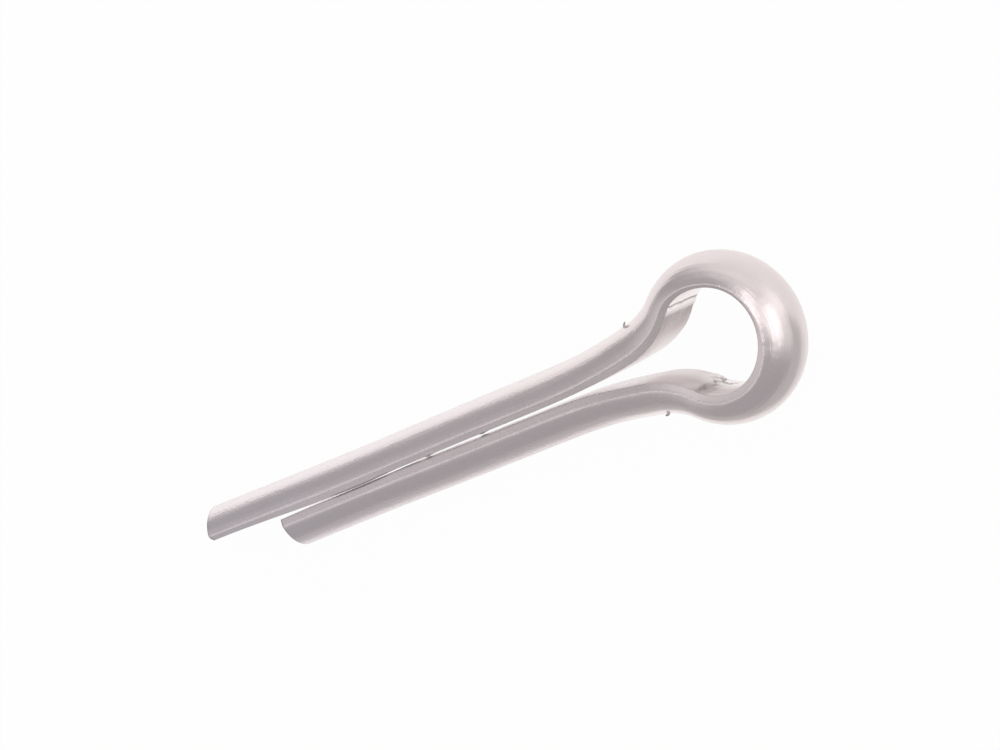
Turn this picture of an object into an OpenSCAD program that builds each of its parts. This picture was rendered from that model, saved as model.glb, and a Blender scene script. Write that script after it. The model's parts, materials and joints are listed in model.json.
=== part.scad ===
/* [Wire] */
// Radius of the round shank that the two half-round legs make together
shank_r = 2.236; // [2:0.002:2.4]
// Radius of the ridge on each long edge, between the round side and the narrow facet along the flat
edge_r = 0.46; // [0.4:0.01:0.5]

/* [Eye] */
// Inside radius of the eye
eye_inner_r = 3.1; // [2.9:0.05:3.3]
// Distance along the pin from the seat plane to the centre of the eye
eye_x = 7.2; // [6.8:0.1:8]
// Distance along the pin from the centre of the eye to the centres of the neck bends
neck_step = 6.1; // [5.6:0.1:6.6]

/* [Legs] */
// Room between the two flats where the legs lie side by side
leg_gap = 0.2; // [0.1:0.02:0.3]
// Length from the seat plane to the tip of the short leg
short_leg = 25.4; // [16:0.1:50]
// How far the long leg runs on past the short one
tip_step = 5.5; // [2.3:0.1:7]
// Bevel on the inner edge of the long leg's tip
tip_bevel = 0.3; // [0.1:0.05:0.5]

/* [Hidden] */
$fn = 96;

// Fragments of a full turn for the wide bends, so that their chords stay short
bend_fn = 720;

// Right triangles with whole sides set the ridges' place, the facets' slope and the lines on which
// the bends meet: along, across and slant
edge_line = [12, 35, 37];
facet_line = [24, 7, 25];
eye_line = [20, 21, 29];
lead_line = [13, 84, 85];

// Ridges, measured from the flat: the centre of the upper one, and where both run into the round side
edge_at = (shank_r - edge_r) / edge_line.z * [edge_line.x, edge_line.y] - [leg_gap / 2, 0];
edge_end = shank_r / edge_line.z * edge_line.x - leg_gap / 2;

// Where each facet leaves its ridge, and the height at which it meets the flat in a sharp corner
facet_from = edge_at + edge_r / facet_line.z * [-facet_line.y, facet_line.x];
flat_z = facet_from.y - facet_from.x * facet_line.y / facet_line.x;

// Neck bend: its centre from the eye's centre, and its radius on the flat
neck_unit = neck_step / eye_line.x;
neck_at = neck_unit * [-eye_line.x, eye_line.y];
neck_bend_r = neck_unit * eye_line.z - eye_inner_r;

// Lead bend, which brings the legs side by side: its centre from the neck's, and how much wider it is
lead_unit = (neck_at.y - neck_bend_r - leg_gap / 2) / (lead_line.z - lead_line.y);
lead_at = lead_unit * [-lead_line.x, lead_line.y];
lead_widening = lead_unit * lead_line.z;

// Where the legs run straight: from the eye's centre along the pin, and from the axis to the flat
straight_at = [neck_at.x + lead_at.x, leg_gap / 2];
long_leg = short_leg + tip_step;

// Share of the step between the centres that carries a cut past the wire, in whole tenths
cut_reach = ceil(14 * neck_bend_r / lead_widening) / 10;

// Half-round wire: the flat lies on the Y axis and the round side faces +X, about the shank's centre
module wire_section() {
    polygon([
        [0, -flat_z],
        [facet_from.x, -facet_from.y],
        [edge_at.x, -edge_at.y],
        [shank_r / 2, -edge_at.y],
        [shank_r / 2, edge_at.y],
        edge_at,
        facet_from,
        [0, flat_z]
    ]);
    for (end = [-1, 1])
        translate([edge_at.x, end * edge_at.y])
            circle(edge_r);
    intersection() {
        translate([-leg_gap / 2, 0])
            circle(shank_r);
        translate([edge_end, -shank_r])
            square(2 * shank_r);
    }
}

// Upright block over an outline, taller than the wire
module cutter(points) {
    translate([0, 0, -shank_r])
        linear_extrude(2 * shank_r)
            polygon(points);
}

// Ring with its flat inside, open towards the legs
module eye() {
    difference() {
        rotate_extrude()
            translate([eye_inner_r, 0])
                wire_section();
        cutter([[0, 0], neck_at, [2 * neck_at.x, 0], [neck_at.x, -neck_at.y]]);
    }
}

// Bend with its flat outside, kept between the lines from its centre to two points
module reverse_bend(radius, widening, from, to) {
    intersection() {
        rotate([0, 0, -90])
            rotate_extrude(angle = 90, $fn = bend_fn)
                translate([radius, 0])
                    translate([widening, 0])
                        mirror([1, 0])
                            wire_section();
        cutter([[0, 0], from, to]);
    }
}

// Straight stretch of wire along -X, with its flat towards -Y
module leg(run) {
    rotate([90, 0, -90])
        mirror([1, 0, 0])
            linear_extrude(run)
                wire_section();
}

// Neck, lead and leg on one side of the eye, down to a tip at the given distance from the seat plane
module side(tip) {
    neck_cut = -cut_reach * lead_at;
    lead_cut = neck_cut - lead_at;
    translate(neck_at) {
        reverse_bend(neck_bend_r, 0, -neck_at, neck_cut);
        translate(lead_at)
            reverse_bend(neck_bend_r, lead_widening, lead_cut, [0, lead_cut.y]);
    }
    translate(straight_at)
        leg(tip + eye_x + straight_at.x);
}

// Slanted cut that takes the inner edge off the long tip
module bevel_cut() {
    flat_y = leg_gap / 2;
    cutter([
        [-long_leg - tip_bevel, flat_y + 2 * tip_bevel],
        [-long_leg - tip_bevel, flat_y - tip_bevel],
        [-long_leg + 2 * tip_bevel, flat_y - tip_bevel]
    ]);
}

module cotter_pin() {
    color("silver")
        difference() {
            translate([eye_x, 0, 0]) {
                eye();
                side(long_leg);
                mirror([0, 1, 0])
                    side(short_leg);
            }
            bevel_cut();
        }
}

cotter_pin();
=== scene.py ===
import bpy
import json
import math
from mathutils import Matrix, Vector


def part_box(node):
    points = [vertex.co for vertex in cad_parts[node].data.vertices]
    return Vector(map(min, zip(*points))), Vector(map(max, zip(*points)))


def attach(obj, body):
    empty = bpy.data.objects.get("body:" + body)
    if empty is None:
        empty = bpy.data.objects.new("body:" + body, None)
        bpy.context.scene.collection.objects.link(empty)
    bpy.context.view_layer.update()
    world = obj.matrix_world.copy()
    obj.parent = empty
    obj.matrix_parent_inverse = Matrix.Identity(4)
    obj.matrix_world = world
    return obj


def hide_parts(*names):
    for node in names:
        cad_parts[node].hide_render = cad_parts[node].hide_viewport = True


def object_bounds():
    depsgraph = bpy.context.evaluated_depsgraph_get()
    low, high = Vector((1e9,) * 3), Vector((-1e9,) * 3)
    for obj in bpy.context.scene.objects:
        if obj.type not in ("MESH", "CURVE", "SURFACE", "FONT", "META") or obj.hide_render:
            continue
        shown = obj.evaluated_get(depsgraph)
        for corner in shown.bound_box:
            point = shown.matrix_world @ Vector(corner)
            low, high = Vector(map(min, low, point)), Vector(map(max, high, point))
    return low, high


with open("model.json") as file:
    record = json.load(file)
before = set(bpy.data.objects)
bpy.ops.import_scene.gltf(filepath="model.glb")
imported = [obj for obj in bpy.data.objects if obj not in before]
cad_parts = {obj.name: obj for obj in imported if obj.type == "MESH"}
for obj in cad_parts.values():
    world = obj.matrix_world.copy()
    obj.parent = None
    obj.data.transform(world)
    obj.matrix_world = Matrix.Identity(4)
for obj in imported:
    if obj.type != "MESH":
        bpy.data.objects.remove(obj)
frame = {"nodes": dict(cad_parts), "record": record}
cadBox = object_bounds()
mm = 0.001
mounts = {mount["name"]: mount for mount in frame["record"]["mounts"]}
print("frame loaded:", sorted(frame["nodes"]))


class Flow:
    # one socket of a node tree: Python operators on it add Math nodes
    def __init__(self, bench, socket):
        self.bench = bench
        self.socket = socket

    def __add__(self, other):
        return self.bench.maths("ADD", self, other)

    __radd__ = __add__

    def __sub__(self, other):
        return self.bench.maths("SUBTRACT", self, other)

    def __rsub__(self, other):
        return self.bench.maths("SUBTRACT", other, self)

    def __mul__(self, other):
        return self.bench.maths("MULTIPLY", self, other)

    __rmul__ = __mul__

    def __truediv__(self, other):
        return self.bench.maths("DIVIDE", self, other)

    def __rtruediv__(self, other):
        return self.bench.maths("DIVIDE", other, self)

    def __pow__(self, other):
        return self.bench.maths("POWER", self, other)

    def __abs__(self):
        return self.bench.maths("ABSOLUTE", self)

    def __gt__(self, other):
        return self.bench.maths("GREATER_THAN", self, other)

    def __lt__(self, other):
        return self.bench.maths("LESS_THAN", self, other)

    def atMost(self, other):
        return self.bench.maths("MINIMUM", self, other)

    def atLeast(self, other):
        return self.bench.maths("MAXIMUM", self, other)

    def between(self, low, high):
        return self.atLeast(low).atMost(high)

    def cos(self):
        return self.bench.maths("COSINE", self)

    def sin(self):
        return self.bench.maths("SINE", self)

    def sign(self):
        return self.bench.maths("SIGN", self)

    def ease(self, low, high):
        # 0 below low, 1 above high, smooth between
        ends = {"Value": self, "From Min": low, "From Max": high}
        return self.bench.add("ShaderNodeMapRange", {"interpolation_type": "SMOOTHSTEP"}, ends)

    def over(self, start, full, fading, end):
        # a stretch: 0 before start and past end, 1 from full to fading
        return self.ease(start, full) * (1 - self.ease(fading, end))

    def near(self, spot, inner, outer):
        # 1 within inner of the spot, 0 beyond outer
        return 1 - abs(self - spot).ease(inner, outer)

    def part(self, axis):
        return self.bench.add("ShaderNodeSeparateXYZ", inputs={0: self}, out=axis)


class Bench:
    # a node tree, with one way of adding nodes to it
    def __init__(self, tree):
        self.tree = tree
        tree.nodes.clear()

    def feed(self, socket, value):
        if isinstance(value, Flow):
            self.tree.links.new(value.socket, socket)
        else:
            socket.default_value = value

    def add(self, kind, settings=None, inputs=None, out=None):
        node = self.tree.nodes.new(kind)
        for name, setting in (settings or {}).items():
            setattr(node, name, setting)
        for name, value in (inputs or {}).items():
            self.feed(node.inputs[name], value)
        if not node.outputs:
            return node
        sockets = [socket for socket in node.outputs if socket.enabled and out in (None, socket.name)]
        return Flow(self, sockets[0])

    def maths(self, operation, *values):
        return self.add("ShaderNodeMath", {"operation": operation}, dict(enumerate(values)))

    def vector(self, x, y, z):
        return self.add("ShaderNodeCombineXYZ", inputs={0: x, 1: y, 2: z})

    def vectors(self, operation, first, second):
        return self.add("ShaderNodeVectorMath", {"operation": operation}, {0: first, 1: second})

    def scaled(self, vector, factor):
        return self.add("ShaderNodeVectorMath", {"operation": "SCALE"}, {0: vector, "Scale": factor})

    def blendColour(self, factor, first, second):
        return self.add("ShaderNodeMix", {"data_type": "RGBA"}, {0: factor, 6: first, 7: second})

    def noise(self, place, scale, detail, roughness=0.5):
        inputs = {"Vector": place, "Scale": scale, "Detail": detail, "Roughness": roughness}
        return self.add("ShaderNodeTexNoise", inputs=inputs, out="Fac")


# the camera, from the eye of the pin: degrees, millimetres, and pixels of a 1000 x 750 picture
viewPoint = {
    "tilt": 30.869,  # camera's lean from straight above, towards the eye's end
    "sideLean": -0.631,
    "turn": 22.549,  # the pin's turn in the picture
    "distance": 248.491,
    "pixelsPerMm": 17.0681,
    "eyePixel": (723.915, 337.135),
    "pictureSize": (1000, 750),
    "sensorWidth": 36.0,
}


def setCamera(view, target):
    tilt, lean, turn = (math.radians(view[name]) for name in ("tilt", "sideLean", "turn"))
    back = Matrix.Rotation(lean, 3, "X") @ Vector((math.sin(tilt), 0, math.cos(tilt)))
    along = Vector((1, 0, 0)) - back * back.x
    along.normalize()
    across = back.cross(along)
    right = along * math.cos(turn) - across * math.sin(turn)
    up = along * math.sin(turn) + across * math.cos(turn)
    shiftRight = (view["eyePixel"][0] - view["pictureSize"][0] / 2) / view["pixelsPerMm"]
    shiftUp = (view["pictureSize"][1] / 2 - view["eyePixel"][1]) / view["pixelsPerMm"]
    spot = target + (back * view["distance"] - right * shiftRight - up * shiftUp) * mm
    data = bpy.data.cameras.new("photoView")
    data.sensor_width = view["sensorWidth"]
    data.lens = view["sensorWidth"] * view["pixelsPerMm"] * view["distance"] / view["pictureSize"][0]
    data.clip_start = 1 * mm
    data.clip_end = 100
    camera = bpy.data.objects.new("photoView", data)
    turned = Matrix((right, up, back)).transposed()
    camera.matrix_world = Matrix.Translation(spot) @ turned.to_4x4()
    bpy.context.scene.collection.objects.link(camera)
    bpy.context.scene.camera = camera


setCamera(viewPoint, Vector(mounts["eye"]["pos_m"]))
print("camera set")

# two lumps of plating in the seam, in millimetres along the wire from the eye's far end
seamSpecks = (22.1, 26.3)

# the zinc finish: colours are linear, scales are per millimetre of wire, heights are millimetres
zincLook = {
    "pale": (0.878, 0.802, 0.816, 1),
    "dull": (0.796, 0.719, 0.732, 1),
    "cool": (0.822, 0.768, 0.820, 1),
    # painted highlight colour for the flats and rims that mirror the floor
    "paintedSheen": (0.985, 0.945, 0.945, 1),
    # stain colour, also carrying painted shade on the flats between the legs
    "stainedAndShaded": (0.46, 0.405, 0.41, 1),
    "warm": (0.60, 0.46, 0.46, 1),
    # dark colour for the marks and cut edges, and for painted shade in the closing seam
    "darkenedAndShaded": (0.20, 0.17, 0.17, 1),
    "roughness": 0.25,
    "streakScale": 6.0,
    "streakStretch": 0.04,
    "streakHeight": 0.011,
    "blotchScale": 0.6,
    "mottleHeight": 0.045,
    "grainScale": 5.0,
    "grainHeight": 0.013,
    # along the wire from the eye's far end: from and full, or from, full, fading and end
    "legs": (7.0, 12.0),
    "coolTips": (10.0, 44.0),
    "widerRim": (34.0, 44.0),
    "stainAndShade": (6.9, 7.1, 7.2, 9.4),  # on the flats, beyond the forming tool's mark
    "smear": (4.0, 5.5, 6.5, 7.5),
    "upperShineEnd": (6.5, 6.95),
    "neckShine": (8.0, 10.5),
    "lowerShineEnd": (8.5, 11.0),
    "neckRim": (7.0, 9.0, 12.0, 15.0),
    "eyeBrownSide": (-3.5, -2.0),  # below 0 on the short leg's side
    "eyeBrownEnd": (5.0, 7.0),
    "legBrown": (12.0, 20.0),
    "farEdgeBrown": (5.0, 6.0),
    "touch": (29.0, 30.0, 33.3, 34.3),  # where the legs come closest
    "neckScuff": (6.5, 8.5),
    "neckScuffEnd": (8.0, 11.0),
    "eyeScuff": (3.0, 4.5, 6.5, 8.5),
    "neckRoughEnd": (9.0, 13.0),
    # a place along the wire, and how far round it: full and end
    "markHalo": (6.9, 0.15, 0.7),
    "speckHalo": (0.1, 0.3),
    # outwards from the flat
    "bevelEnd": (0.28, 0.46),
    "rim": (1.45, 2.05),
    "seamBrown": (0.0, 0.14),
    "gapShadeBand": (0.03, 0.11),
    # downwards from the wire's middle
    "lowerShine": (-0.6, 1.6),
    "farEdge": (1.8, 1.98),
}


def zincPlate(look):
    material = bpy.data.materials.new("zincPlate")
    material.use_nodes = True
    bench = Bench(material.node_tree)
    wirePlace = bench.add("ShaderNodeAttribute", {"attribute_name": "wirePlace"}, out="Vector")
    wireWear = bench.add("ShaderNodeAttribute", {"attribute_name": "wireWear"}, out="Vector")
    mark, cutEdge, flat = (wireWear.part(axis) for axis in "XYZ")
    place, outward, upward = (wirePlace.part(axis) for axis in "XYZ")
    along, downward, uncut = abs(place), 0 - upward, 1 - cutEdge
    upper = place > 0
    lower = 1 - upper
    onLeg = along.ease(*look["legs"])
    bevel = (1 - outward.ease(*look["bevelEnd"])) * (1 - flat)
    rim = (outward + along.ease(*look["widerRim"]) * upper * 0.3).ease(*look["rim"]) * uncut
    stretched = bench.vectors("MULTIPLY", wirePlace, (look["streakStretch"], 1, 1))
    streaks = bench.noise(stretched, look["streakScale"], 3.0)
    blotches = bench.noise(wirePlace, look["blotchScale"], 3.0)
    grain = bench.noise(wirePlace, look["grainScale"], 3.0, 0.6)

    # dull blotches and streaks, and a cooler tone towards the tips
    dullness = (streaks * 0.6 + blotches * 0.6 - 0.1).between(0, 1)
    colour = bench.blendColour(dullness, look["pale"], look["dull"])
    colour = bench.blendColour(along.ease(*look["coolTips"]) * 0.65, colour, look["cool"])

    # the flats are darkened beyond the marks, and the short leg's also before its mark and round it:
    # partly real stain, partly painted shade where the flats face each other between the legs
    patchy = 0.45 + grain * 0.7 + (blotches - 0.5) * 0.9
    smear = lower * along.over(*look["smear"]) * (streaks * 2.4 - 0.5)
    stainAndShade = along.over(*look["stainAndShade"]) * (0.4 + upper * 0.55) + 0.16 + smear * 0.55
    halo = lower * along.near(*look["markHalo"]) * (0.3 + streaks * 0.6)
    stainAndShade = flat * (stainAndShade * patchy + halo)
    colour = bench.blendColour(stainAndShade.between(0, 1), colour, look["stainedAndShaded"])

    # painted highlight: the flats are painted near white beside the stains, where they mirror the white
    # floor, and the rims of the long leg and the short leg's neck are painted lighter too
    upperShine = 1 - along.ease(*look["upperShineEnd"]) + along.ease(*look["neckShine"]) * 0.6
    lowerShine = downward.ease(*look["lowerShine"]) * (1 - along.ease(*look["lowerShineEnd"]))
    lowerShine = lowerShine * (1 - mark)
    rimShine = onLeg * upper * (0.3 + grain * 0.7) + (1 - onLeg) * 0.15
    rimShine = rimShine + lower * along.over(*look["neckRim"]) * 0.8
    paintedShine = flat * (upper * upperShine + lower * lowerShine)
    paintedShine = (paintedShine + rim * rimShine).between(0, 1)
    colour = bench.blendColour(paintedShine, colour, look["paintedSheen"])

    # brown lines along the hole's edge, the seam and the short flat's far edge
    eyeBrown = (1 - along.ease(*look["eyeBrownEnd"])) * place.ease(*look["eyeBrownSide"]) * 0.35
    legBrown = lower * along.ease(*look["legBrown"]) * 0.4
    farBrown = lower * downward.ease(*look["farEdge"]) * along.ease(*look["farEdgeBrown"]) * 0.45
    brown = ((1 - flat) * (eyeBrown + legBrown)).atLeast(farBrown)
    brown = brown * (1 - outward.ease(*look["seamBrown"])) * uncut
    colour = bench.blendColour(brown, colour, look["warm"])

    # darker in the forming tool's marks and on the cut edges, and painted shade in the seam where the
    # legs come closest and round the specks
    touch = along.over(*look["touch"])
    for speck in seamSpecks:
        touch = touch + along.near(speck, *look["speckHalo"])
    touch = touch * (1 - outward.ease(*look["gapShadeBand"]))
    darkeningAndShade = (mark * (0.5 + upper * 0.5) + cutEdge * 0.55 + touch * 0.65).between(0, 1)
    colour = bench.blendColour(darkeningAndShade, colour, look["darkenedAndShaded"])

    # the bevels are scuffed to a powdery white, most of all in the short leg's neck
    neckScuff = lower * along.ease(*look["neckScuff"]) * (1 - along.ease(*look["neckScuffEnd"]) * 0.95)
    eyeScuff = lower * along.over(*look["eyeScuff"]) * 0.8
    scuff = (bevel + flat * (0.5 + lowerShine * 0.4)) * neckScuff
    scuff = (scuff + bevel * (eyeScuff + onLeg * upper * 0.3)).atMost(1)
    scuff = scuff * (0.35 + streaks * 0.9 + (grain - 0.5) * 0.5) * uncut
    neckFlat = flat * (1 - along.ease(*look["neckRoughEnd"]) * 1.6) * (1 - paintedShine * 0.7)
    rough = look["roughness"] + (streaks - 0.5) * 0.12 + (grain - 0.5) * 0.10
    rough = rough + neckFlat * 0.16 + scuff * 0.25

    # grain on the legs and rims, drawing streaks everywhere, and mottling on the eye
    coarse = onLeg * (0.85 + rim * 1.6) + 0.15 + flat * 0.5
    height = (grain - 0.5) * coarse * look["grainHeight"] + (streaks - 0.5) * look["streakHeight"]
    height = height + (blotches - 0.5) * (1 - onLeg) * look["mottleHeight"]
    bump = bench.add("ShaderNodeBump", inputs={"Strength": 1.0, "Distance": 1.0, "Height": height * mm})
    metal = 1 - scuff.between(0, 1) * 0.7
    shader = bench.add(
        "ShaderNodeBsdfPrincipled",
        inputs={"Base Color": colour, "Metallic": metal, "Roughness": rough, "Normal": bump},
    )
    bench.add("ShaderNodeOutputMaterial", inputs={"Surface": shader})
    return material


# the bent wire: millimetres and degrees, worked out from the shank, the eye and the CAD box
shankRadius = mounts["shank"]["dims"]["r_mm"]
legGap = 0.2
eyeCentre = mounts["eye"]["pos_m"][0] / mm
boxLow, boxHigh = (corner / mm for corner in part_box("cotter_pin"))
pinWire = {
    "sizes": {
        "Shank Radius": shankRadius,
        "Leg Gap": legGap,
        "Ridge Radius": 0.46,  # rounded ridge between the round side and the bevel along the seam
        "Ridge Place": 0.48,  # from the flat to the ridge, the highest line of the section
        "Seam Slope": 17.0,  # the narrow bevel between the ridge and the flat
        "Corner Radius": 0.025,
        "Eye Radius": min(boxHigh.x - eyeCentre, boxHigh.y) - shankRadius + legGap / 2,
        "Eye Centre": eyeCentre,
        "Eye Turn": 180 - math.degrees(math.atan2(21, 20)),
        "Neck Radius": 5.745,
        "Lead Radius": 53.345,
        "Lead Turn": math.degrees(math.asin(13 / 85)),
        "Long Tip": -boxLow.x,
        "Tip Step": 5.5,
        "Tip Roll": 0.09,
        "Long Tip Round": 0.42,  # how far the long tip's inner corner is rounded back
        "Lead Spread": 0.02,  # how far each leg bows out between its touching place and the neck
        "Neck Pinch": 0.045,  # how far each neck is pressed in before the eye
        "Seam Drift": 0.08,  # how far the seam lies towards the long leg's side
        "Tip Spread": 0.06,  # how far the long leg opens beyond its touching place
        "Tip Thinning": 0.16,  # flat worn back where the long leg runs on alone
        "Touch Place": 19.4,  # where the legs come closest, down from the seat plane
        "Touch Squeeze": 0.05,
        "First Speck": seamSpecks[0],  # lumps of plating that narrow the seam
        "Second Speck": seamSpecks[1],
        "Speck Height": 0.07,
        "Neck Swell": 0.10,  # round side pushed out where the neck's bend squeezes it
        "Eye Thinning": 0.25,  # flat drawn thin over the long leg's half of the eye
        "Ridge Pull": 0.18,  # ridge drawn towards the hole, there too
        "Upper Mark": 6.45,  # the forming tool's mark across each flat, from the eye's far end
        "Lower Mark": 7.05,
        "Mark Width": 0.09,
        "Mark Depth": 0.06,
        "Mark Fold": 0.05,  # the low fold beside the mark
        "Crack Place": 1.35,  # below the middle of the short leg's flat
        "Crack Width": 0.18,
        "Flat Ripple": 0.03,
        "Wire Wave": 0.02,  # unevenness of the drawn wire
        "Rings": 700,
        "Points Round": 129,
    },
    "stretches": {
        # along the wire from the eye's far end: from and full, or from, full, fading and end
        "ripple": (4.5, 6.5, 9.5, 14.0),
        "crack": (5.8, 6.3, 7.2, 7.9),
        "swell": (6.8, 9.6, 10.4, 14.5),
        "thinning": (-2.0, 3.0, 5.6, 8.6),  # below 0 on the short leg's side
        "pull": (-3.0, 0.0, 4.0, 6.5),
        "calmWave": (7.0, 10.0),
        "drift": (11.0, 15.0),
        # from the mark, or from a speck
        "fold": (0.0, 0.16, 0.25, 0.85),
        "speck": (0.05, 0.32),
        # back from a tip
        "cutEdge": (0.16, 0.03),
        "tipRound": (3.0, 0.0),
        # down a leg from the seat plane, and from the touching place
        "driftEnd": (16.0, 19.0),
        "wear": (20.5, 29.5),
        "leadBow": (3.5, 6.0, 6.0, 14.0),
        "pinch": (-4.0, -0.5, 1.5, 5.0),
        "tipBow": (18.0, 40.0),
        "touch": (-8.0, -0.5, 0.5, 12.0),
    },
}


def wireTree(finish, plan):
    tree = bpy.data.node_groups.new("halfRoundWire", "GeometryNodeTree")
    bench = Bench(tree)
    whole = ("Rings", "Points Round")
    for name in plan["sizes"]:
        kind = "NodeSocketInt" if name in whole else "NodeSocketFloat"
        tree.interface.new_socket(name=name, in_out="INPUT", socket_type=kind)
    tree.interface.new_socket(name="Geometry", in_out="OUTPUT", socket_type="NodeSocketGeometry")
    size = {name: bench.add("NodeGroupInput", out=name) for name in plan["sizes"]}
    stretch = plan["stretches"]
    toRadians = math.pi / 180
    quarter = math.pi / 2
    wire, halfGap = size["Shank Radius"], size["Leg Gap"] / 2
    eye, neck, lead = size["Eye Radius"], size["Neck Radius"], size["Lead Radius"]
    eyeTurn, leadTurn = size["Eye Turn"] * toRadians, size["Lead Turn"] * toRadians
    neckTurn = eyeTurn - quarter - leadTurn
    eyeRun, neckRun, leadRun = eye * eyeTurn, neck * neckTurn, lead * leadTurn
    neckStart = eyeTurn - math.pi
    leadStart = neckStart - neckTurn

    # how far down a leg the straight stretch starts, and how long each side is from the eye's end
    neckAlong = neck * (leadStart.cos() - neckStart.cos())
    leadAlong = lead * (0 - leadStart.cos())
    straightAt = eye * eyeTurn.cos() + neckAlong + leadAlong + size["Eye Centre"]
    longRun = eyeRun + neckRun + leadRun + straightAt + size["Long Tip"]

    # a grid from tip to tip and once round the wire, laid out by its own two coordinates
    rings, pointsRound = size["Rings"], size["Points Round"]
    grid = bench.add(
        "GeometryNodeMeshGrid",
        inputs={"Size X": 2.0, "Size Y": 2.0, "Vertices X": rings, "Vertices Y": pointsRound},
        out="Mesh",
    )
    cell = bench.add("GeometryNodeInputPosition")
    across, around = cell.part("X"), cell.part("Y")
    side, reach = across.sign(), abs(across)
    level, half = around.sign(), abs(around)
    upper = (side + 1) * 0.5
    lower = 1 - upper

    # the rings lie closer on the eye, and the last ones roll over the cut edge and close the tip
    bodyShare, rollShare, evenShare = 0.955, 0.5, 0.35
    body = (reach / bodyShare).atMost(1)
    closing = ((reach - bodyShare) / (1 - bodyShare)).atLeast(0)
    rolling = (closing / rollShare).atMost(1) * quarter
    filling = ((closing - rollShare) / (1 - rollShare)).atLeast(0)
    run = longRun - size["Tip Step"] * (side < 0)
    roll = size["Tip Roll"]
    along = (run - roll) * (body * evenShare + body ** 3 * (1 - evenShare)) + roll * rolling.sin()
    signedRun = side * along

    # the flat's line: eye, neck and lead arcs and the straight, each by its own share of the run
    onEye = along.atMost(eyeRun) / eye
    onNeck = (along - eyeRun).between(0, neckRun) / neck
    onLead = (along - eyeRun - neckRun).between(0, leadRun) / lead
    onStraight = (along - eyeRun - neckRun - leadRun).atLeast(0)
    facing = onEye - onNeck - onLead
    neckAt, leadAt = neckStart - onNeck, leadStart - onLead
    flatX = eye * onEye.cos() + neck * (neckAt.cos() - neckStart.cos())
    flatX = flatX + lead * (leadAt.cos() - leadStart.cos()) - onStraight + size["Eye Centre"]
    flatY = eye * onEye.sin() + neck * (neckAt.sin() - neckStart.sin())
    flatY = flatY + lead * (leadAt.sin() - leadStart.sin())

    # the section: half of the flat, its corner, the seam bevel, the ridge and half of the round side
    ridge, crest, corner = size["Ridge Radius"], size["Ridge Place"], size["Corner Radius"]
    slope = size["Seam Slope"] * toRadians
    roundLean = bench.maths("ARCSINE", (crest + halfGap) / (wire - ridge))
    bevel = (crest - ridge * slope.sin() - corner * (1 - slope.sin())) / slope.cos()
    flatHeight = (wire - ridge) * roundLean.cos() + (ridge - corner) * slope.cos() - bevel * slope.sin()
    flatShare, cornerShare, bevelShare, ridgeShare = 0.18, 0.12, 0.06, 0.17
    bevelFrom = flatShare + cornerShare
    ridgeFrom = bevelFrom + bevelShare
    roundFrom = ridgeFrom + ridgeShare
    onFlat = (half / flatShare).atMost(1) * flatHeight
    onCorner = ((half - flatShare) / cornerShare).between(0, 1) * (quarter - slope)
    onBevel = ((half - bevelFrom) / bevelShare).between(0, 1) * bevel
    onRidge = ((half - ridgeFrom) / ridgeShare).between(0, 1) * (slope + roundLean)
    onRound = ((half - roundFrom) / (1 - roundFrom)).atLeast(0) * (quarter - roundLean)
    cornerAt, ridgeAt = math.pi - onCorner, quarter + slope - onRidge
    roundAt = quarter - roundLean - onRound
    outward = corner * (cornerAt.cos() + 1) + onBevel * slope.cos()
    outward = outward + ridge * (ridgeAt.cos() + slope.sin()) + wire * (roundAt.cos() - roundLean.sin())
    upward = onFlat + corner * cornerAt.sin() + onBevel * slope.sin()
    upward = upward + ridge * (ridgeAt.sin() - slope.cos()) + wire * (roundAt.sin() - roundLean.cos())
    lean = math.pi - onCorner - onRidge - onRound
    cornerRoll = 0.22  # the sharp corner rolls over less than the round side
    inset = roll * (1 - rolling.cos()) * (cornerRoll + onRidge / (slope + roundLean) * (1 - cornerRoll))
    middle = wire * 0.42  # where each tip's cap closes
    inward = 1 - filling
    height = level * upward
    wirePlace = bench.vector(signedRun, outward + (middle - outward) * filling, height * inward)

    # the forming tool's marks on the flats, broken and cracked on the short leg's, and the specks
    flat = (1 - ((half - flatShare) / cornerShare).ease(0.0, 0.8)) * (1 - rolling.ease(0.3, 1.2))
    ripple = bench.noise(bench.vector(signedRun, height, 0.0), 1.6, 3.0) - 0.5
    markAt = size["Lower Mark"] + (size["Upper Mark"] - size["Lower Mark"]) * upper
    pastMark = along - markAt + ripple * (0.25 + lower * 0.9)
    broken = bench.noise(bench.vector(along, height, 4.0), 2.6, 2.0).ease(0.32, 0.50) * lower + upper
    groove = (1 - abs(pastMark) / (size["Mark Width"] * (1 + lower))).atLeast(0) * broken
    pastCrack = height + size["Crack Place"] + ripple * 1.4
    crack = (1 - abs(pastCrack) / size["Crack Width"]).atLeast(0) * lower
    groove = groove.atLeast(crack * along.over(*stretch["crack"])) * flat
    fold = pastMark.over(*stretch["fold"]) * flat
    rippled = ripple * along.over(*stretch["ripple"]) * flat
    dent = groove * size["Mark Depth"] - fold * size["Mark Fold"] + rippled * size["Flat Ripple"]
    specks = (1 - half.ease(0.26, 0.36)) * height.ease(1.6, 1.85) * size["Speck Height"]
    for name in ("First Speck", "Second Speck"):
        dent = dent - along.near(size[name], *stretch["speck"]) * specks
    cutEdge = along.ease(*(run - back for back in stretch["cutEdge"]))
    wireWear = bench.vector(groove, cutEdge, flat)

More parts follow.
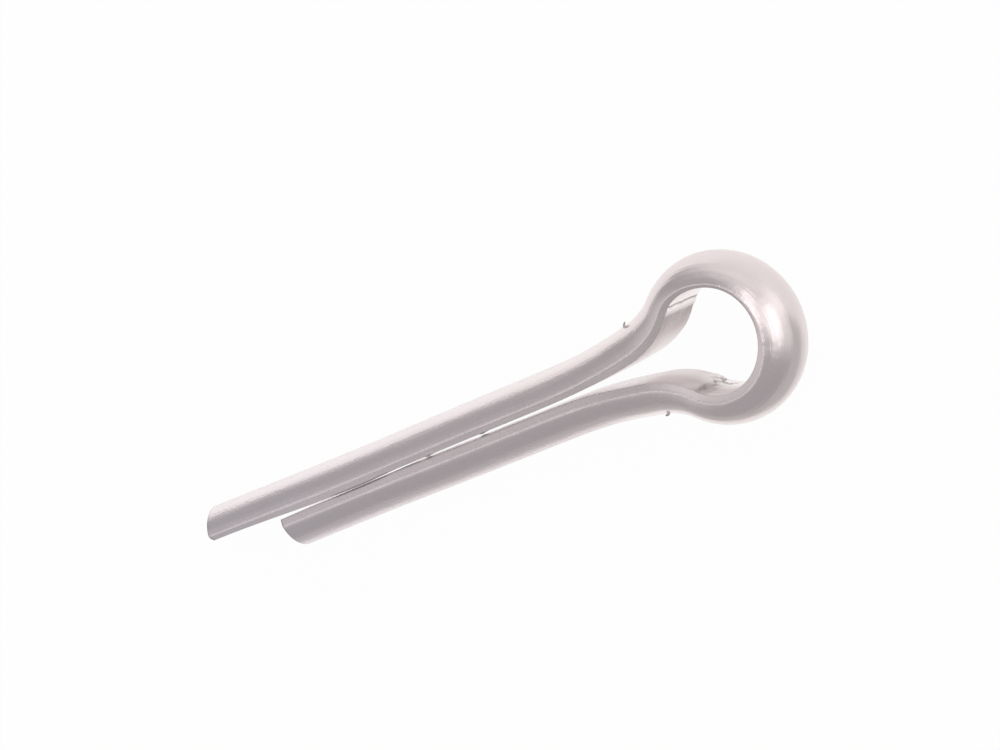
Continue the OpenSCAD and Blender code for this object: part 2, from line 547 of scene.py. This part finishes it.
    # the squeeze and stretch of the bends, and the drawn wire's unevenness, which only takes away
    swell = along.over(*stretch["swell"]) * size["Neck Swell"]
    thinning = signedRun.over(*stretch["thinning"]) * size["Eye Thinning"]
    pull = signedRun.over(*stretch["pull"]) * size["Ridge Pull"]
    wave = bench.noise(wirePlace, 0.9, 2.0).between(0, 1) * size["Wire Wave"]
    wave = wave * (1.6 - along.ease(*stretch["calmWave"]) * 0.6)
    inset = inset + wave * onBevel / bevel
    thick = wire - halfGap
    outward = outward - inset * lean.cos()
    outward = outward - pull * (outward / crest).atMost((thick - outward) / (thick - crest)).atLeast(0)
    outward = outward * (1 + swell / wire) + thinning * (1 - outward / thick).atLeast(0) ** 3 + dent

    # the seam drifts, and the long tip's flat is worn back
    downLeg = 0 - flatX
    drift = along.ease(*stretch["drift"]) * (1 - downLeg.ease(*stretch["driftEnd"]))
    worn = downLeg.ease(*stretch["wear"]) * size["Tip Thinning"] * upper
    shifted = drift * size["Seam Drift"] * side + worn
    outward = outward + shifted * (1 - outward / crest).atLeast(0)
    outward = outward + (middle - outward) * filling
    upward = level * (upward - inset * lean.sin()) * inward

    # the long tip's inner corner is rounded back, and the legs bow beside the place where they touch
    tipCorner = (1 - outward / 0.7).atLeast(0) ** 2 * size["Long Tip Round"] * upper
    tipCorner = tipCorner * along.ease(*(run - back for back in stretch["tipRound"]))
    flatX = flatX + tipCorner
    downLeg = downLeg - tipCorner
    leadBow = downLeg.over(*stretch["leadBow"]) * size["Lead Spread"]
    tipBow = downLeg.ease(*stretch["tipBow"]) * size["Tip Spread"] * (upper * 0.8 + 0.2)
    pinch = downLeg.over(*stretch["pinch"]) * size["Neck Pinch"]
    touch = (downLeg - size["Touch Place"]).over(*stretch["touch"]) * size["Touch Squeeze"]
    flatY = flatY + leadBow + tipBow - touch - pinch

    marked = grid
    for name, value in (("wirePlace", wirePlace), ("wireWear", wireWear)):
        marked = bench.add(
            "GeometryNodeStoreNamedAttribute",
            {"data_type": "FLOAT_VECTOR", "domain": "POINT"},
            {"Geometry": marked, "Name": name, "Value": value},
        )
    x = flatX + outward * facing.cos()
    y = side * (flatY + outward * facing.sin())
    place = bench.scaled(bench.vector(x, y, upward), mm)
    bent = bench.add("GeometryNodeSetPosition", inputs={"Geometry": marked, "Position": place})
    closed = bench.add("GeometryNodeMergeByDistance", inputs={"Geometry": bent, "Distance": 1e-7})
    outside = bench.add("GeometryNodeFlipFaces", inputs={"Mesh": closed})
    smooth = bench.add("GeometryNodeSetShadeSmooth", inputs={"Geometry": outside})
    real = bench.add("GeometryNodeRealizeInstances", inputs={"Geometry": smooth})
    finished = bench.add("GeometryNodeSetMaterial", inputs={"Geometry": real, "Material": finish})
    bench.add("NodeGroupOutput", inputs={"Geometry": finished})
    return tree


def plainMesh(name, tree, sizes):
    piece = bpy.data.objects.new(name, bpy.data.meshes.new(name))
    bpy.context.scene.collection.objects.link(piece)
    modifier = piece.modifiers.new(tree.name, "NODES")
    modifier.node_group = tree
    for item in tree.interface.items_tree:
        if item.in_out == "INPUT" and item.name in sizes:
            modifier[item.identifier] = sizes[item.name]
    bpy.context.view_layer.update()
    evaluated = piece.evaluated_get(bpy.context.evaluated_depsgraph_get())
    mesh = bpy.data.meshes.new_from_object(evaluated)
    piece.modifiers.clear()
    piece.data = mesh
    mesh.name = name
    return piece


zinc = zincPlate(zincLook)
pin = plainMesh("bentWire", wireTree(zinc, pinWire), pinWire["sizes"])
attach(pin, "root")
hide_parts("cotter_pin")
print("wire bent:", len(pin.data.vertices), "points,", len(pin.data.polygons), "faces")

# two burrs of plating on the outer sides of the necks: millimetres, degrees and directions
burrs = {
    "upperBurr": {
        "Seat": (1.66, 2.82, 0.62),
        "Rise": (-0.19, 0.94, 0.29),
        "Sweep": (0.96, 0.24, 0.0),
        "Length": 0.44,
    },
    "lowerBurr": {
        "Seat": (2.27, -2.94, 0.84),
        "Rise": (-0.28, -0.87, 0.41),
        "Sweep": (-0.95, 0.31, 0.0),
        "Length": 0.34,
    },
}
burrSize = {"Thickness": 0.15, "Curl": 95.0, "Sunk": 0.09, "Rows": 24, "Points Round": 17}
burrLook = {"dark": (0.38, 0.34, 0.34, 1), "light": (0.76, 0.70, 0.71, 1), "patchScale": 9.0}


def burrTree(finish):
    tree = bpy.data.node_groups.new("platingBurr", "GeometryNodeTree")
    bench = Bench(tree)
    kinds = {"Seat": "NodeSocketVector", "Rise": "NodeSocketVector", "Sweep": "NodeSocketVector"}
    kinds.update({"Rows": "NodeSocketInt", "Points Round": "NodeSocketInt"})
    names = ["Seat", "Rise", "Sweep", "Length"] + list(burrSize)
    for name in names:
        kind = kinds.get(name, "NodeSocketFloat")
        tree.interface.new_socket(name=name, in_out="INPUT", socket_type=kind)
    tree.interface.new_socket(name="Geometry", in_out="OUTPUT", socket_type="NodeSocketGeometry")
    size = {name: bench.add("NodeGroupInput", out=name) for name in names}
    rows, pointsRound = size["Rows"], size["Points Round"]
    grid = bench.add(
        "GeometryNodeMeshGrid",
        inputs={"Size X": 1.0, "Size Y": 1.0, "Vertices X": rows, "Vertices Y": pointsRound},
        out="Mesh",
    )
    cell = bench.add("GeometryNodeInputPosition")
    reach, around = cell.part("X") + 0.5, cell.part("Y") * (2 * math.pi)

    # a flattened sliver that leaves the wire along Rise and curls over towards Sweep
    curl = size["Curl"] * (math.pi / 180)
    turned = curl * reach
    lump = bench.noise(bench.vector(reach * 3, around.cos() * 0.6, around.sin() * 0.6), 1.3, 2.0)
    taper = (1 - reach ** 2).atLeast(0) ** 0.7 * (reach * 12).atMost(1)
    thick = size["Thickness"] * taper * (0.5 + lump)
    rise = size["Length"] * turned.sin() / curl - size["Sunk"]
    sweep = size["Length"] * (1 - turned.cos()) / curl
    across = bench.vectors("CROSS_PRODUCT", size["Rise"], size["Sweep"])
    flatten = thick * around.sin() * 0.5
    place = bench.vectors("ADD", size["Seat"], bench.scaled(size["Rise"], rise - flatten * turned.sin()))
    place = bench.vectors("ADD", place, bench.scaled(size["Sweep"], sweep + flatten * turned.cos()))
    place = bench.vectors("ADD", place, bench.scaled(across, thick * around.cos()))
    place = bench.scaled(place, mm)
    bent = bench.add("GeometryNodeSetPosition", inputs={"Geometry": grid, "Position": place})
    closed = bench.add("GeometryNodeMergeByDistance", inputs={"Geometry": bent, "Distance": 1e-7})
    smooth = bench.add("GeometryNodeSetShadeSmooth", inputs={"Geometry": closed})
    real = bench.add("GeometryNodeRealizeInstances", inputs={"Geometry": smooth})
    finished = bench.add("GeometryNodeSetMaterial", inputs={"Geometry": real, "Material": finish})
    bench.add("NodeGroupOutput", inputs={"Geometry": finished})
    return tree


def dullBurr(look):
    material = bpy.data.materials.new("dullBurr")
    material.use_nodes = True
    bench = Bench(material.node_tree)
    spot = bench.scaled(bench.add("ShaderNodeTexCoord", out="Object"), 1 / mm)
    patches = bench.noise(spot, look["patchScale"], 3.0)
    colour = bench.blendColour(patches.ease(0.35, 0.65), look["dark"], look["light"])
    shader = bench.add(
        "ShaderNodeBsdfPrincipled",
        inputs={"Base Color": colour, "Metallic": 0.8, "Roughness": 0.45 + patches * 0.2},
    )
    bench.add("ShaderNodeOutputMaterial", inputs={"Surface": shader})
    return material


burrMaker = burrTree(dullBurr(burrLook))
for name, seat in burrs.items():
    burr = plainMesh(name, burrMaker, {**seat, **burrSize})
    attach(burr, "root")
print("burrs made:", ", ".join(burrs))

# the room: soft lamps as (azimuth, elevation, full radius, fading radius, strength) in degrees from +X
room = {
    "dome": 0.42,
    "lamps": [
        (53, -10, 40, 77, 0.45),
        (-8, 48, 6, 27, 0.95),
        (48, 60, 6.4, 12, 1.01),
        (40, 82, 9, 15.5, 1.15),
        (176, 77, 3.8, 6.8, 1.89),
        (176, 32, 0.5, 42, 0.26),
        (-7, 14, 10, 43, 0.39),
        (181, 59, 1.5, 8, 0.38),
    ],
    "domeTint": (1.0, 0.985, 0.992, 1),
    "lampTint": (1.0, 0.972, 0.965, 1),
}


def softRoom(plan):
    world = bpy.data.worlds.new("softRoom")
    world.use_nodes = True
    bench = Bench(world.node_tree)
    look = bench.add("ShaderNodeTexCoord", out="Generated")
    light = plan["dome"]
    for azimuth, elevation, full, fading, strength in plan["lamps"]:
        turn, rise = math.radians(azimuth), math.radians(elevation)
        aim = (math.cos(turn) * math.cos(rise), math.sin(turn) * math.cos(rise), math.sin(rise))
        nearness = bench.vectors("DOT_PRODUCT", look, aim)
        edges = (math.cos(math.radians(radius)) for radius in (fading, full))
        light = nearness.ease(*edges) * strength + light
    tint = bench.blendColour((light - plan["dome"]).ease(0.0, 0.4), plan["domeTint"], plan["lampTint"])
    sky = bench.add("ShaderNodeBackground", inputs={"Color": bench.scaled(tint, light), "Strength": 1.0})
    bench.add("ShaderNodeOutputWorld", inputs={"Surface": sky})
    bpy.context.scene.world = world


softRoom(room)

# the floor under the pin, white to the camera with a trace of shadow, and in reflections a painted pool
# of light that dims past soft edges
whiteFloor = {
    "size": 3.0,
    "colour": (0.92, 0.915, 0.91, 1),
    "glow": 0.97,
    "mirrorTint": (1.0, 0.972, 0.965, 1),
    "farGlow": 0.54,  # the floor as the wire mirrors it, past three soft edges in millimetres
    "slantEdge": (-18.2, -12.2),
    "slant": -0.817,
    "slantTo": 16,
    "sideEdge": (-9.6, -3.6),
    "endEdge": (-48, -40),
    "eyeSide": (-6, 3),
    "eyeRoom": 4.5,  # how much further off the side edge lies beside the eye
    "eyeEnd": (8, 16),
    "eyeShade": 0.2,  # how much darker the floor is beyond the eye
}


def layFloor(plan, height):
    half = plan["size"] / 2
    corners = [(x * half, y * half, height) for x, y in ((-1, -1), (1, -1), (1, 1), (-1, 1))]
    mesh = bpy.data.meshes.new("whiteFloor")
    mesh.from_pydata(corners, [], [(0, 1, 2, 3)])
    floor = bpy.data.objects.new("whiteFloor", mesh)
    bpy.context.scene.collection.objects.link(floor)
    material = bpy.data.materials.new("whiteFloor")
    material.use_nodes = True
    bench = Bench(material.node_tree)
    matt = bench.add("ShaderNodeBsdfDiffuse", inputs={"Color": plan["colour"]})
    direct, mirrored, through = (
        bench.add("ShaderNodeLightPath", out=ray)
        for ray in ("Is Camera Ray", "Is Glossy Ray", "Is Transmission Ray")
    )
    spot = bench.scaled(bench.add("ShaderNodeTexCoord", out="Object"), 1 / mm)
    x, y = spot.part("X"), spot.part("Y")
    # painted pool of light and shade: the floor as the wire mirrors it is full white inside soft edges
    # and dims to farGlow outside them
    lit = (y + x.atMost(plan["slantTo"]) * plan["slant"]).ease(*plan["slantEdge"])
    lit = lit * (y + x.ease(*plan["eyeSide"]) * plan["eyeRoom"]).ease(*plan["sideEdge"])
    lit = lit * x.ease(*plan["endEdge"]) * (1 - x.ease(*plan["eyeEnd"]) * plan["eyeShade"])
    fall = (1 - lit) * (1 - plan["farGlow"])
    tint = bench.blendColour(mirrored, (1, 1, 1, 1), plan["mirrorTint"])
    tint = bench.scaled(tint, 1 - fall * mirrored)
    white = bench.add("ShaderNodeEmission", inputs={"Color": tint, "Strength": 1.0})
    seen = (direct + mirrored + through).atMost(1) * plan["glow"]
    surface = bench.add("ShaderNodeMixShader", inputs={0: seen, 1: matt, 2: white})
    bench.add("ShaderNodeOutputMaterial", inputs={"Surface": surface})
    mesh.materials.append(material)


layFloor(whiteFloor, cadBox[0].z)
print("room and floor made")

bpy.context.scene.view_settings.view_transform = "Standard"
